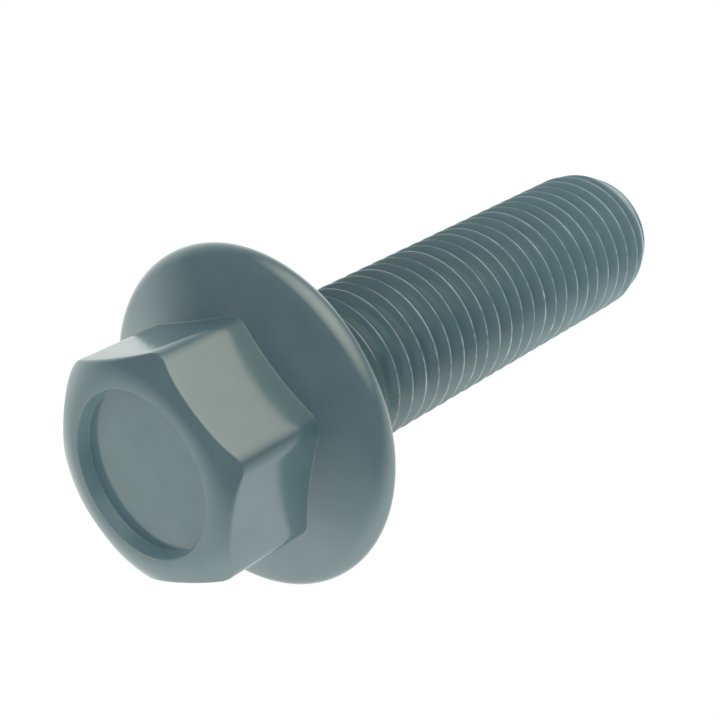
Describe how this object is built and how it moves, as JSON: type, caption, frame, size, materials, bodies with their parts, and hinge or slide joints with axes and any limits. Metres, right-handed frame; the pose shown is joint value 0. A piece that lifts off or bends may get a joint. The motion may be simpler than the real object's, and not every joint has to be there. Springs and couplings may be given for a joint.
{
  "type": "hexagon flange bolt",
  "caption": "Fully threaded hexagon flange bolt with a dished head, a conical flange with a rounded rim and a rounded tip, for clamping two parts together.",
  "frame": {"origin": "centre of the flange's bearing face", "axes": "+Z along the bolt's axis from the head to the tip, +X towards one corner of the hexagon"},
  "size_m": [0.0206, 0.0206, 0.0446],
  "materials": {
    "coated_steel": "satin blue-green grey coating"
  },
  "bodies": {
    "root": {"bolt": "coated_steel"}
  },
  "joints": []
}
